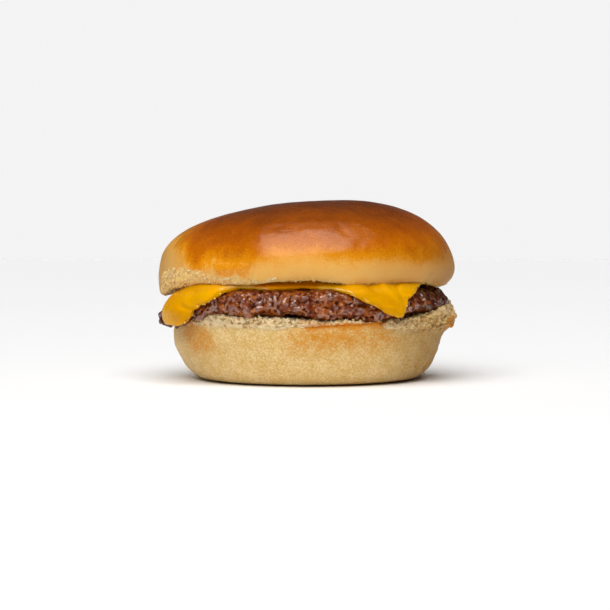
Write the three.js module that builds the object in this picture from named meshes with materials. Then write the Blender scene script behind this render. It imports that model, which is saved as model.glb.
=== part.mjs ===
// A cheeseburger on a soft white bun: heel, beef patty, one melted slice of cheese and crown.
// Units are millimetres, +Z is up, -Y is the side that faces the guest, and the origin is the
// middle of the flat base. The four pieces are laid on each other with a hair of air between them.
import * as THREE from "three";
import { ImprovedNoise } from "three/addons/math/ImprovedNoise.js";

// ---------------------------------------------------------------- driving dimensions

const GAP = 0.5; // air between two pieces that rest on each other
const FLAT_ROWS = [0.4, 0.64, 0.84]; // where the faces that lie on each other have their points

const CROWN_TOP = 68.7; // highest point of the whole burger
const CROWN_APEX_X = 17; // the dome peaks to the right of the middle
const CROWN_SWELL = { depth: 0.4, size: 17 }; // gentle unevenness of the baked skin
const CROWN_LEANS = { below: 39, above: 46 }; // heights between which it stops following the lean

const CHEESE_THICKNESS = 2.8;
const CHEESE_EDGE = 47.6; // from the middle to the slice's edge, half way between two corners

const PATTY_MID = 30.3; // height of the middle of the patty's side
const PATTY_HALF = 5.1; // half its thickness
const PATTY_RIM = 8; // how far its rounded side reaches out past the flat faces
const CRAGS = { depth: 2, coarse: 9, fine: 4.5 }; // cracks between the lumps of minced beef

const HEEL_WIDEST = 21; // height where the heel is widest
const HEEL_TAPER = 6.5; // how much narrower it is at the bottom
const HEEL_FOOT = { inset: 5, height: 6 }; // rounding of the crust down to the flat base
const HEEL_EDGE = 22.8; // top edge of the crust
const HEEL_CUT = 24.5; // cut face under the patty
const CRUMB = { depth: 0.9, size: 3.4 }; // torn crumb along the top edge
const CRUMB_SHOWS = { from: 42, to: 50 }; // radii between which the cut face turns into that edge
const FLAP = { rise: 5.2, reach: 5.6, hinge: 16.5, lip: 21 }; // torn flap up along the right side

const LEFT_SAG = { drop: 6, from: 30, to: 60 }; // the layers hang down where the patty overhangs
const RIGHT_LIFT = { rise: 1, from: 20, to: 55 }; // and ride up on the torn flap
const HEEL_LEANS = { above: 6, fully: 20 }; // heights between which the heel starts to follow

// Values that change round the burger, as [degrees, value] at a few directions: 0 is the right
// side, 90 the back, 180 the left side and 270 the front.
const CROWN_RADIUS = [[0, 57], [45, 56], [90, 55.3], [135, 56], [180, 57.3], [225, 56.4], [270, 55.5]];
const CROWN_FULLNESS = [[0, 2.04], [180, 2.2]]; // superellipse exponent of the dome
const CROWN_EQUATOR = [[0, 41.7], [90, 44.5], [180, 42], [270, 45]]; // height where it is widest
const CROWN_LIP = [
  [0, 34.9], [45, 37.6], [180, 37.5], [202, 37.6], [213, 39.9], [220, 39.4], [228, 38], [242, 38],
  [270, 38.7], [325, 37.6],
];
const CROWN_TUCK = [[0, 5], [90, 4.5], [180, 2.6], [225, 3], [270, 4.5]]; // how far the lip turns in
const PATTY_RADIUS = [[0, 55], [50, 54], [140, 55], [180, 57.4], [215, 55.2], [270, 53.6], [320, 54.4]];
const HEEL_RADIUS = [[0, 52.6], [60, 52.2], [180, 51.4], [240, 52]];
const HEEL_FLAP = [[-44, 0], [-14, 1], [10, 0.9], [34, 0], [180, 0]]; // 1 where the flap is highest

// The slice's four corners and the shoulder beside the first: direction and distance of the tip,
// how many degrees it takes to fade into the straight edges on its clockwise and counterclockwise
// side, and the share of that fade which the melted tip stays at full reach.
const CHEESE_CORNERS = [
  { tip: 211, reach: 61.8, clockwise: 15, counterclockwise: 15, blunt: 0.4 },
  { tip: 226, reach: 57.6, clockwise: 16, counterclockwise: 15, blunt: 0.2 },
  { tip: 304.8, reach: 61.8, clockwise: 26, counterclockwise: 13, blunt: 0.1 },
  { tip: 38, reach: 61.5, clockwise: 26, counterclockwise: 28, blunt: 0.1 },
  { tip: 121, reach: 65, clockwise: 30, counterclockwise: 32, blunt: 0.1 },
];
const BUNCHED = { from: 200, full: 209, fades: 212, to: 226, thicker: 1.7 }; // cheese bunched up there

// Where the bun pressed against its neighbour in the oven: a flatter patch with a fold at one side.
const KISS = { from: 192, flat: 234, fold: 243, to: 249, depth: 1.7, below: 46, above: 54 };

// ---------------------------------------------------------------- helpers

const { lerp, smoothstep, degToRad, clamp } = THREE.MathUtils;
const perlin = new ImprovedNoise();

const wrap = (degrees) => ((degrees % 360) + 360) % 360;

// Numbers from one value to another in equal steps, both included.
const spread = (from, to, steps) => Array.from({ length: steps + 1 }, (_, i) => lerp(from, to, i / steps));

// The value of one of the lists above in a given direction, eased between its entries.
function around(keys, degrees) {
  for (let i = 0; i < keys.length; i++) {
    const [from, value] = keys[i];
    const [to, next] = keys[(i + 1) % keys.length];
    const span = wrap(to - from);
    const past = wrap(degrees - from);
    if (past <= span) return lerp(value, next, smoothstep(past, 0, span));
  }
}

const noiseAt = (point, size, seed) =>
  perlin.noise(point.x / size + seed, point.y / size + 2 * seed, point.z / size + 3 * seed);

// 0 on the swollen middle of a lump, 1 in the crack between two lumps.
const crack = (point, size, seed) => 1 - Math.min(1, 3 * Math.abs(noiseAt(point, size, seed)));

// Sine and cosine of an angle.
const sineCosine = (degrees) => [Math.sin(degToRad(degrees)), Math.cos(degToRad(degrees))];

function polar(degrees, radius, height) {
  const [sine, cosine] = sineCosine(degrees);
  return new THREE.Vector3(radius * cosine, radius * sine, height);
}

// How far the stack is pushed up or down at a distance to the right of its middle.
const lean = (x) =>
  RIGHT_LIFT.rise * smoothstep(x, RIGHT_LIFT.from, RIGHT_LIFT.to) -
  LEFT_SAG.drop * smoothstep(-x, LEFT_SAG.from, LEFT_SAG.to);

// Moves a point with the stack, fully or by a share.
function settle(point, share = 1) {
  point.z += share * lean(point.x);
  return point;
}

// So many directions, evenly round the burger.
const evenly = (columns) => spread(0, 360, columns).slice(0, -1);

// A lathe whose profile differs from one direction to the next: outline(degrees) lists its points
// from the bottom pole to the top pole, always the same number of them.
function turned(name, color, roughness, directions, outline) {
  const rows = outline(0).length;
  const columns = directions.length;
  const template = spread(0, 1, rows - 1).map((v) => new THREE.Vector2(Math.sin(Math.PI * v), v));
  const geometry = new THREE.LatheGeometry(template, columns);
  const position = geometry.getAttribute("position");
  for (let column = 0; column <= columns; column++) {
    const points = outline(directions[column % columns]);
    points.forEach(({ x, y, z }, row) => position.setXYZ(column * rows + row, x, y, z));
  }
  geometry.computeVertexNormals();
  const mesh = new THREE.Mesh(geometry, new THREE.MeshStandardMaterial({ color, roughness }));
  mesh.name = name;
  return mesh;
}

// ---------------------------------------------------------------- patty

// Its skin is measured along a path that starts at the middle of the top, runs out over the
// rounded rim and back to the middle of the underside.
const RIM_QUARTER = (Math.PI / 2) * Math.sqrt((PATTY_RIM ** 2 + PATTY_HALF ** 2) / 2);

const pattyFlat = (degrees) => around(PATTY_RADIUS, degrees) - PATTY_RIM;

// The point at a distance along that path, raised off the smooth skin by lift.
function overPatty(degrees, path, lift) {
  const flat = pattyFlat(degrees);
  const angle = clamp((path - flat) / RIM_QUARTER, 0, 2) * (Math.PI / 2);
  const radius = path <= flat ? path : flat + (PATTY_RIM + lift) * Math.sin(angle);
  const returned = Math.max(0, path - flat - 2 * RIM_QUARTER);
  return polar(degrees, radius - returned, PATTY_MID + (PATTY_HALF + lift) * Math.cos(angle));
}

// The height of the raised skin at a radius, above the middle (side 1) or below it (side -1).
function pattyHeight(degrees, radius, lift, side) {
  const out = clamp((radius - pattyFlat(degrees)) / (PATTY_RIM + lift), 0, 1);
  return PATTY_MID + side * (PATTY_HALF + lift) * Math.sqrt(1 - out * out);
}

function patty() {
  return turned("patty", 0x4a2414, 0.55, evenly(100), (degrees) => {
    const flat = pattyFlat(degrees);
    const inner = FLAT_ROWS.map((share) => share * flat);
    const top = inner.concat(spread(flat, flat + RIM_QUARTER, 5));
    const whole = 2 * (flat + RIM_QUARTER);
    const underside = top.slice(0, -1).map((path) => whole - path);
    const skin = underside.concat(top.toReversed()).map((path) => {
      const smooth = overPatty(degrees, path, 0);
      const crags = 0.7 * crack(smooth, CRAGS.coarse, 1.7) + 0.3 * crack(smooth, CRAGS.fine, 5.3);
      return settle(overPatty(degrees, path, -CRAGS.depth * crags));
    });
    return [polar(0, 0, PATTY_MID - PATTY_HALF), ...skin, polar(0, 0, PATTY_MID + PATTY_HALF)];
  });
}

// ---------------------------------------------------------------- cheese

// Directions of the slice's columns, which stand closer where its edge runs down steeply.
const CHEESE_DIRECTIONS = [
  spread(0, 200, 38),
  spread(200, 240, 16),
  spread(240, 290, 10),
  spread(290, 320, 12),
  spread(320, 360, 8),
].flatMap((part) => part.slice(0, -1));

// The distance along the patty from the middle to the slice's edge: far at the corners, which
// hang down over the side, and short between them.
function cheeseReach(degrees) {
  const ripple = 0.5 * sineCosine(9 * degrees)[0] + 0.3 * sineCosine(17 * degrees + 40)[0];
  const corners = CHEESE_CORNERS.map(({ tip, reach, clockwise, counterclockwise, blunt }) => {
    const turn = wrap(degrees - tip + 180) - 180;
    const away = Math.abs(turn) / (turn < 0 ? clockwise : counterclockwise);
    return (reach - CHEESE_EDGE) * (1 - smoothstep(away, blunt, 1));
  });
  return CHEESE_EDGE + ripple + Math.max(...corners);
}

// A point of the slice: it lies on the patty, bends over the rim and then hangs straight down.
function overRim(degrees, path, lift) {
  const hang = Math.max(0, path - pattyFlat(degrees) - RIM_QUARTER);
  const point = overPatty(degrees, path - hang, lift);
  point.z -= hang;
  return settle(point);
}

// How much thicker than elsewhere the slice is where it is bunched up below the crown.
function bunched(degrees, path) {
  const { from, full, fades, to, thicker } = BUNCHED;
  const direction = smoothstep(degrees, from, full) * (1 - smoothstep(degrees, fades, to));
  const flat = pattyFlat(degrees);
  return thicker * direction * smoothstep(path, flat - 1, flat + 3);
}

function cheese() {
  const half = CHEESE_THICKNESS / 2;
  return turned("cheese_slice", 0xf2a900, 0.35, CHEESE_DIRECTIONS, (degrees) => {
    const end = cheeseReach(degrees) - half;
    const bend = Math.min(pattyFlat(degrees), end - 2);
    const paths = [...FLAT_ROWS.map((share) => share * bend), ...spread(bend, end, 8)];
    const inside = paths.map((path) => overRim(degrees, path, GAP));
    const edge = [45, 90, 135].map((turn) => {
      const [out, down] = sineCosine(turn);
      return overRim(degrees, end + half * out, GAP + half - half * down);
    });
    const outside = paths.toReversed().map((path) => {
      const thicker = bunched(degrees, path) * smoothstep(end - path, 0, 4);
      return overRim(degrees, path, GAP + CHEESE_THICKNESS + thicker);
    });
    const pole = (lift) => polar(0, 0, PATTY_MID + PATTY_HALF + lift);
    return [pole(GAP), ...inside, ...edge, ...outside, pole(GAP + CHEESE_THICKNESS)];
  });
}

// ---------------------------------------------------------------- crown

// The height of the crown's underside: it lies on the cheese, and past the slice's edge it comes
// down towards the patty.
function crownUnderside(degrees, radius) {
  const nearby = [-5, 0, 5].map((turn) => degrees + turn);
  const edge = Math.max(...nearby.map(cheeseReach));
  const slice = CHEESE_THICKNESS + Math.max(...nearby.map((turn) => bunched(turn, radius + 1)));
  const lift = lerp(2.5 * GAP + slice, 2 * GAP, smoothstep(radius, edge + 1.5, edge + 4));
  return Math.max(pattyHeight(degrees, radius, lift, 1), around(CROWN_LIP, degrees));
}

// How far the flat patch stays behind the round outline.
function kissDepth(degrees, height) {
  const turn = wrap(degrees);
  const patch = smoothstep(turn, KISS.from, KISS.flat) * (1 - smoothstep(turn, KISS.fold, KISS.to));
  return KISS.depth * patch * (1 - smoothstep(height, KISS.below, KISS.above));
}

function crown() {
  return turned("crown", 0xb9650f, 0.35, evenly(72), (degrees) => {
    const edge = around(CROWN_RADIUS, degrees);
    const equator = around(CROWN_EQUATOR, degrees);
    const tuck = around(CROWN_TUCK, degrees);
    const power = 2 / around(CROWN_FULLNESS, degrees);
    const inner = edge - tuck;
    const lip = crownUnderside(degrees, inner);

    const shape = (radius, height) => {
      const point = polar(degrees, radius - kissDepth(degrees, height) * (radius / edge), height);
      if (height > equator) point.x += CROWN_APEX_X * (1 - radius / edge);
      const swell = CROWN_SWELL.depth * noiseAt(point, CROWN_SWELL.size, 3.1);
      point.z += swell * smoothstep(height, equator, equator + 6);
      return settle(point, 1 - smoothstep(height, CROWN_LEANS.below, CROWN_LEANS.above));
    };

    const resting = [...FLAT_ROWS.map((share) => share * inner), ...spread(inner - 5, inner - 1.5, 2)];
    const underside = resting.map((radius) => shape(radius, crownUnderside(degrees, radius)));
    const cheek = spread(0, 72, 4).map((turn) => {
      const [out, down] = sineCosine(turn);
      return shape(inner + tuck * out, equator - (equator - lip) * down);
    });
    const dome = spread(0, 81, 10).map((turn) => {
      const [up, out] = sineCosine(turn);
      return shape(edge * out ** power, equator + (CROWN_TOP - equator) * up ** power);
    });
    const bottom = polar(0, 0, PATTY_MID + PATTY_HALF + 2 * GAP + CHEESE_THICKNESS);
    const apex = new THREE.Vector3(CROWN_APEX_X, 0, CROWN_TOP);
    return [bottom, ...underside, ...cheek, ...dome, apex];
  });
}

// ---------------------------------------------------------------- heel

function heel() {
  return turned("heel", 0xd9a95c, 0.75, evenly(80), (degrees) => {
    const flap = around(HEEL_FLAP, degrees);
    const rim = HEEL_EDGE + FLAP.rise * flap;

    const wall = (height) => {
      const taper = HEEL_TAPER * (1 - Math.min(1, height / HEEL_WIDEST)) ** 1.6;
      const foot = HEEL_FOOT.inset * (1 - Math.min(1, height / HEEL_FOOT.height)) ** 2;
      const folded = 1 - 0.4 * smoothstep(height, FLAP.lip + 2, FLAP.lip + 7);
      const leaning = FLAP.reach * flap * smoothstep(height, FLAP.hinge, FLAP.lip) * folded;
      return around(HEEL_RADIUS, degrees) - taper - foot + leaning;
    };
    const shape = (radius, height) =>
      settle(polar(degrees, radius, height), smoothstep(height, HEEL_LEANS.above, HEEL_LEANS.fully));

    const heights = [0, 1.5, 4, 8, 12, FLAP.hinge, 18.5, FLAP.lip, lerp(FLAP.lip, rim, 0.6), rim];
    const side = heights.map((height) => shape(wall(height), height));
    const crumb = [0.995, 0.975, 0.95, 0.92, 0.88, ...FLAT_ROWS.toReversed()].map((share) => {
      const radius = share * wall(rim);
      const ceiling = pattyHeight(degrees, radius, 1.5 * GAP, -1);
      const shows = smoothstep(radius, CRUMB_SHOWS.from, CRUMB_SHOWS.to);
      const torn = lerp(HEEL_CUT, rim + 1, shows);
      const rough = CRUMB.depth * noiseAt(polar(degrees, radius, torn), CRUMB.size, 7.7);
      return shape(radius, Math.min(torn + rough * shows, ceiling));
    });
    return [polar(0, 0, 0), ...side, ...crumb, polar(0, 0, HEEL_CUT)];
  });
}

// ---------------------------------------------------------------- the burger

const burger = new THREE.Group();
burger.name = "cheeseburger";
burger.add(heel(), patty(), cheese(), crown());

export default burger;
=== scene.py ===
"""Cheeseburger on a soft glossy bun.

Each of the burger's four solids is replaced by a finely modelled piece of the same form, and the
torn crumbs, the pepper and the beads of cheese are added. Objects are in metres. The sculpting
functions work on arrays of points in millimetres, with angles in degrees: 0 is the right side,
90 the back, 180 the left side and 270 the front.
"""

import math

import bpy
import numpy as np
from bpy.props import FloatProperty, FloatVectorProperty, IntProperty, PointerProperty
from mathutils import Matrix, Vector, noise


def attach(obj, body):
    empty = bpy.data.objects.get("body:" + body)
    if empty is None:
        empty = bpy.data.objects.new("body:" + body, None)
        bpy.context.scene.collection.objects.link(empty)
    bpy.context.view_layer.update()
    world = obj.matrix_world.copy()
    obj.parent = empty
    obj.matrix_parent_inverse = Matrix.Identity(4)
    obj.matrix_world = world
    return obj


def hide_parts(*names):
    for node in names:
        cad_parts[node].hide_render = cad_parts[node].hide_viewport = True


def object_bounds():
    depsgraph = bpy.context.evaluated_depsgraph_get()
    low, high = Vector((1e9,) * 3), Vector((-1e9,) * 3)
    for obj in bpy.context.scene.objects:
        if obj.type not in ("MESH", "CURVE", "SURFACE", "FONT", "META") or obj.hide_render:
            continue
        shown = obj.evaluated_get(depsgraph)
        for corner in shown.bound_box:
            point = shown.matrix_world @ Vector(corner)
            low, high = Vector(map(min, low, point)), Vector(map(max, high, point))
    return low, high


bl_info = {
    "name": "Cheeseburger",
    "version": (1, 0, 0),
    "blender": (4, 5, 0),
    "location": "View3D > Sidebar > Burger",
    "description": "Dresses the packed cheeseburger with bread, beef and melted cheese",
    "category": "Object",
}

MM = 0.001
BODY = "root"

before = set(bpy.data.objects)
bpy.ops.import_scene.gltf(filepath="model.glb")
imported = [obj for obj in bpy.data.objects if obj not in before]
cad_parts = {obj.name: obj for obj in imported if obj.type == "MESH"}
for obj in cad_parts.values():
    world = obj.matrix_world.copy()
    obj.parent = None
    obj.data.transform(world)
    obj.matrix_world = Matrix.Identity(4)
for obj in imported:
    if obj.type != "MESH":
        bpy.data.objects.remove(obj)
CAD_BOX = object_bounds()
CAD_LOW, CAD_HIGH = (np.array([*corner]) / MM for corner in CAD_BOX)  # in millimetres


def tone(red, green, blue):
    """The linear colour of a screen colour given from 0 to 255."""
    channels = np.array([red, green, blue]) / 255
    linear = np.where(channels <= 0.04045, channels / 12.92, ((channels + 0.055) / 1.055) ** 2.4)
    return tuple(float(value) for value in linear)


def colour(name, description, *screen):
    return FloatVectorProperty(
        name=name, description=description, default=tone(*screen), subtype="COLOR", size=3, min=0, max=1
    )


def length(name, description, millimetres):
    return FloatProperty(
        name=name, description=description, default=millimetres * MM, unit="LENGTH", min=0, precision=5
    )


def number(name, description, default):
    return IntProperty(name=name, description=description, default=default, min=1)


# -------- sizes and colours


class CrownLook(bpy.types.PropertyGroup):
    """The upper half of the bun"""

    lip: colour("Lip", "Pale band along the lower edge", 224, 176, 94)
    low: colour("Low side", "Pale golden side above the lip", 224, 164, 72)
    golden: colour("Golden", "Where the crust begins to brown", 214, 134, 4)
    side: colour("Side", "Brown side", 186, 98, 0)
    shoulder: colour("Shoulder", "Browner shoulder", 156, 74, 0)
    top: colour("Top", "Darkest crust, on top", 108, 48, 2)
    tear: length("Tear", "Depth of the torn patch at the left", 0.2)
    crumb: colour("Crumb", "Torn crumb that stands out", 232, 192, 118)
    flap: length("Flap", "Thickness of the flaps of skin beside the fold", 0.3)
    wrinkle: length("Wrinkles", "Depth of the fine wrinkles in the skin", 0.08)


class CheeseLook(bpy.types.PropertyGroup):
    """The melted slice"""

    body: colour("Cheese", "Body of the slice", 225, 161, 0)
    # Pale colour of the thin oily edge, also used to paint highlights along it and glints on the beads.
    edge: colour("Edge", "Thin oily edge", 250, 214, 140)
    fold: length("Fold", "Depth of the soft folds in the front corner", 0.4)
    ragged: length("Ragged edge", "How uneven the slice's edge is", 0.35)


class PattyLook(bpy.types.PropertyGroup):
    """The beef patty"""

    seared: colour("Seared", "Reddish brown seared beef", 113, 45, 11)
    fried: colour("Fried", "Lighter, fried patches", 156, 80, 22)
    fat: colour("Fat", "Pale brown grains of fat", 184, 122, 74)
    # Painted shade: the dark colour of the cracks between the lumps.
    crack_shade: colour("Crack", "Dark juice in the cracks", 56, 19, 6)
    coarse: number("Coarse lumps", "Swellings round the side", 320)
    fine: number("Fine lumps", "Lumps of mince round the side", 9000)
    lump: length("Lump", "Half the width of a usual lump of mince", 0.62)
    grain: length("Grain", "Relief of the mince between its lumps", 0.3)


class HeelLook(bpy.types.PropertyGroup):
    """The lower half of the bun"""

    crust: colour("Crust", "Golden crust", 208, 168, 96)
    blister: colour("Blister", "Fine pale blisters", 228, 201, 146)
    browned: colour("Browned", "Browned mottles and edge", 206, 130, 8)
    crumb: colour("Crumb", "Torn crumb that stands out", 240, 216, 170)
    # Painted shade: the crumb's colour down in its pits.
    pit: colour("Pits", "Crumb in the pits", 192, 146, 86)
    fibre: length("Fibres", "Depth of the torn fibres at the right", 0.5)
    wrinkle: length("Wrinkles", "Depth of the creases at the right", 0.3)


class CrumbLook(bpy.types.PropertyGroup):
    """The small things that lie about"""

    crumb: colour("Crumb", "Loose crumbs of the bun", 240, 216, 168)
    crumbs: number("Crumbs", "Loose crumbs along the torn edges", 900)
    pepper: number("Pepper", "Flecks of pepper round the beef", 60)
    beads: number("Beads", "Beads of melted cheese along its edge", 120)


class StageLook(bpy.types.PropertyGroup):
    """Camera, light and table"""

    distance: length("Distance", "From the lens to the middle of the burger", 600)
    eye: length("Eye", "Height of the lens above the table", 47.6)
    table: colour("Table", "Plain pale table", 250, 250, 250)


# -------- working on meshes


def deselect_all():
    bpy.ops.object.select_all(action="DESELECT")


def only(piece):
    """Selects one object and makes it the active one."""
    deselect_all()
    piece.select_set(True)
    bpy.context.view_layer.objects.active = piece


def finish_with(piece, kind, **settings):
    """Adds a modifier and applies it."""
    only(piece)
    modifier = piece.modifiers.new(kind.capitalize(), kind)
    for name, value in settings.items():
        setattr(modifier, name, value)
    bpy.ops.object.modifier_apply(modifier=modifier.name)


def rounded_copy(node, name, levels):
    """A copy of a solid: corners welded, triangles paired into quads, then rounded."""
    only(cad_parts[node])
    bpy.ops.object.duplicate()
    piece = bpy.context.object
    piece.name = name
    piece.data.name = name
    piece.data.materials.clear()
    piece.parent = None
    for key in list(piece.keys()):
        del piece[key]
    bpy.ops.object.mode_set(mode="EDIT")
    bpy.ops.mesh.select_all(action="SELECT")
    bpy.ops.mesh.remove_doubles(threshold=1e-6)
    corner = math.radians(60)
    bpy.ops.mesh.tris_convert_to_quads(face_threshold=corner, shape_threshold=corner)
    bpy.ops.object.mode_set(mode="OBJECT")
    finish_with(piece, "SUBSURF", levels=levels, render_levels=levels)
    return piece


def rows(parts, name, width=3, kind=float):
    """What the parts of a mesh hold under a name, one row each."""
    flat = np.empty(width * len(parts), kind)
    parts.foreach_get(name, flat)
    return flat.reshape(-1, width)


def edit_faces(piece, wanted, action, **settings):
    """Runs a mesh operator on the faces whose middles, in millimetres, are wanted."""
    mesh = piece.data
    only(piece)
    bpy.context.tool_settings.mesh_select_mode = (False, False, True)
    for parts in (mesh.vertices, mesh.edges):
        parts.foreach_set("select", np.zeros(len(parts), bool))
    mesh.polygons.foreach_set("select", wanted(rows(mesh.polygons, "center") / MM))
    bpy.ops.object.mode_set(mode="EDIT")
    action(**settings)
    bpy.ops.object.mode_set(mode="OBJECT")


def split_faces(piece, wanted):
    edit_faces(piece, wanted, bpy.ops.mesh.subdivide, number_cuts=1)


def points(piece):
    """The mesh's corners in millimetres, one row each."""
    return rows(piece.data.vertices, "co") / MM


def normals(piece):
    return rows(piece.data.vertex_normals, "vector")


def move_to(piece, places):
    piece.data.vertices.foreach_set("co", (places * MM).ravel())
    piece.data.update()


def paint(piece, **fields):
    """Stores numbers from 0 to 1 at the corners, under their names, for the material to read."""
    for name, values in fields.items():
        layer = piece.data.attributes.new(name, "FLOAT", "POINT")
        values = np.broadcast_to(values, len(layer.data))
        layer.data.foreach_set("value", np.clip(values, 0, 1).astype(np.float32))


def hollows(piece, rounds, depth):
    """0 on the rises and 1 in the hollows that lie a depth in millimetres below their surroundings."""
    edges = rows(piece.data.edges, "vertices", 2, int)
    ends, others = np.concatenate([edges, edges[:, ::-1]]).T
    places = points(piece)
    count = len(places)
    share = np.bincount(ends, minlength=count).clip(1)
    mean = places
    for _ in range(rounds):
        mean = np.stack([np.bincount(ends, row[others], count) / share for row in mean.T], 1)
    below = ((mean - places) * normals(piece)).sum(1)
    return np.clip(0.5 + 0.5 * below / depth, 0, 1)


# -------- fields over the surface


def ease(values, start, end):
    """Rises smoothly from 0 at start to 1 at end."""
    share = np.clip((values - start) / (end - start), 0, 1)
    return share * share * (3 - 2 * share)


def between(values, low, high, soft):
    """1 between two values, easing to 0 within a soft margin outside each."""
    return ease(values, low - soft, low) * ease(values, high + soft, high)


def wobble(places, size, seed, octaves=1):
    """Smooth noise about 0 whose lumps have the given size in millimetres."""
    total = np.zeros(len(places))
    for octave in range(octaves):
        scaled = places * (2**octave / size) + (seed + 7.3 * octave)
        total += np.array([noise.noise(place) for place in scaled.tolist()]) / 2**octave
    return total


def crumble(places, seed):
    """Height in millimetres of torn crumb: rounded clumps with creases and deep pits between them."""
    clumps = np.abs(wobble(places, 2.2, seed))
    grains = np.abs(wobble(places, 1.1, seed + 3))
    pits = ease(wobble(places, 1.5, seed + 5), 0.15, 0.45)
    return 1.5 * clumps + 1.3 * grains - 0.6 * pits + 0.6 * wobble(places, 0.7, seed + 7) - 0.4


def angle_of(places):
    return np.degrees(np.arctan2(places[:, 1], places[:, 0])) % 360


def radius_of(places):
    return np.hypot(places[:, 0], places[:, 1])


def strokes(places, lines):
    """Soft ridges on the front: each runs from one (x, z) to another, with a width and a height."""
    flat = places[:, [0, 2]]
    total = np.zeros(len(places))
    for start, end, width, height in lines:
        along = np.subtract(end, start)
        share = np.clip((flat - start) @ along / (along @ along), 0, 1)
        away = np.linalg.norm(flat - start - share[:, None] * along, axis=1)
        total += height * np.exp(-((away / width) ** 2))
    return total * ease(-places[:, 1], 5, 20)


def round_about(places, keys):
    """A value that changes round the burger, given as (degrees, value) pairs."""
    degrees, values = zip(*keys)
    return np.interp(angle_of(places), degrees, values, period=360)


# -------- working on materials


class Nodes:
    """The node tree of a material or of the world."""

    def __init__(self, owner):
        owner.use_nodes = True
        self.tree = owner.node_tree

    def node(self, kind, inputs, **settings):
        """Adds a node and gives its sockets, by name or number, their values or what feeds them."""
        node = self.tree.nodes.new(kind)
        for name, value in settings.items():
            setattr(node, name, value)
        for key, value in inputs.items():
            self.feed(node.inputs[key], value)
        return node

    def feed(self, socket, value):
        if isinstance(value, bpy.types.NodeSocket):
            self.tree.links.new(value, socket)
        elif socket.type == "RGBA" and len(value) == 3:
            socket.default_value = (*value, 1)
        else:
            socket.default_value = value


class Finish(Nodes):
    """A material with short words for the nodes that the finishes share."""

    def __init__(self, name):
        self.material = bpy.data.materials.new(name)
        super().__init__(self.material)
        self.shader = self.tree.nodes["Principled BSDF"]
        self.place = self.node("ShaderNodeTexCoord", {}).outputs["Object"]

    def set(self, **inputs):
        """Sets the shader's sockets, named with underscores for spaces."""
        for name, value in inputs.items():
            self.feed(self.shader.inputs[name.replace("_", " ")], value)

    def slanted(self, scale, turn):
        """The place on the piece, scaled along its axes and turned, for grain that runs one way."""
        inputs = {"Vector": self.place, "Scale": scale, "Rotation": (0, math.radians(turn), 0)}
        return self.node("ShaderNodeMapping", inputs).outputs[0]

    def noise(self, size, detail=3.0, roughness=0.55, place=None, distortion=0.0):
        """Cloudy noise from 0 to 1 with lumps of a size in metres."""
        inputs = {"Vector": place or self.place, "Scale": 1 / size, "Detail": detail}
        inputs |= {"Roughness": roughness, "Distortion": distortion}
        return self.node("ShaderNodeTexNoise", inputs).outputs["Fac"]

    def cells(self, size):
        """Distance inside cells of a size in metres."""
        inputs = {"Vector": self.place, "Scale": 1 / size}
        return self.node("ShaderNodeTexVoronoi", inputs).outputs["Distance"]

    def painted(self, name):
        return self.node("ShaderNodeAttribute", {}, attribute_name=name).outputs["Fac"]

    def plus(self, first, second):
        return self.node("ShaderNodeMath", {0: first, 1: second}, operation="ADD").outputs[0]

    def times(self, first, second):
        return self.node("ShaderNodeMath", {0: first, 1: second}, operation="MULTIPLY").outputs[0]

    def between(self, value, low, high, to_low=0.0, to_high=1.0):
        """Remaps a range to another, eased and clamped."""
        inputs = {"Value": value, "From Min": low, "From Max": high, "To Min": to_low, "To Max": to_high}
        return self.node("ShaderNodeMapRange", inputs, interpolation_type="SMOOTHSTEP").outputs["Result"]

    def mix(self, factor, first, second, blend="MIX"):
        inputs = {0: factor, 6: first, 7: second}
        return self.node("ShaderNodeMix", inputs, data_type="RGBA", blend_type=blend).outputs[2]

    def ramp(self, factor, positions, tones):
        """A colour ramp through the tones, each at its position."""
        node = self.node("ShaderNodeValToRGB", {"Fac": factor})
        elements = node.color_ramp.elements
        while len(elements) < len(tones):
            elements.new(0.5)
        for element, position, value in zip(elements, positions, tones):
            element.position = position
            element.color = (*value, 1)
        return node.outputs["Color"]

    def soft(self, weight, radius, scale):
        """Lets light a little way in, each colour to its own share of a depth in metres."""
        self.set(Subsurface_Weight=weight, Subsurface_Radius=radius, Subsurface_Scale=scale)
        return self

    def bump(self, height, depth, below=None):
        """Relief of a depth in metres, laid over the relief below it."""
        inputs = {"Height": height, "Distance": depth, "Strength": 1.0}
        if below:
            inputs["Normal"] = below
        return self.node("ShaderNodeBump", inputs).outputs["Normal"]


def dress(piece, finish, node=None):
    """Gives a piece its finish and its place in the frame."""
    piece.data.materials.clear()
    piece.data.materials.append(finish.material)
    only(piece)
    bpy.ops.object.shade_smooth()
    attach(piece, BODY)
    if node:
        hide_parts(node)


def torn_crumb(finish, raised, shade_in_pits, roughness, deep, soft):
    """Bread crumb: its pores, its colour from rises to pits, with painted shade in the pits, and how far it
    covers the crust.
    """
    pores = finish.noise(0.0009, 5, 0.7)
    depth = finish.plus(finish.painted("pit"), finish.between(pores, 0.2, 0.8, -roughness, roughness))
    crumb = finish.mix(finish.between(depth, deep, 1.0), raised, shade_in_pits)
    shown = finish.plus(finish.painted("crumb"), finish.between(pores, 0, 1, -0.25, 0.25))
    return pores, crumb, finish.between(shown, 0.5 - soft, 0.5 + soft)


# -------- crown

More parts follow.
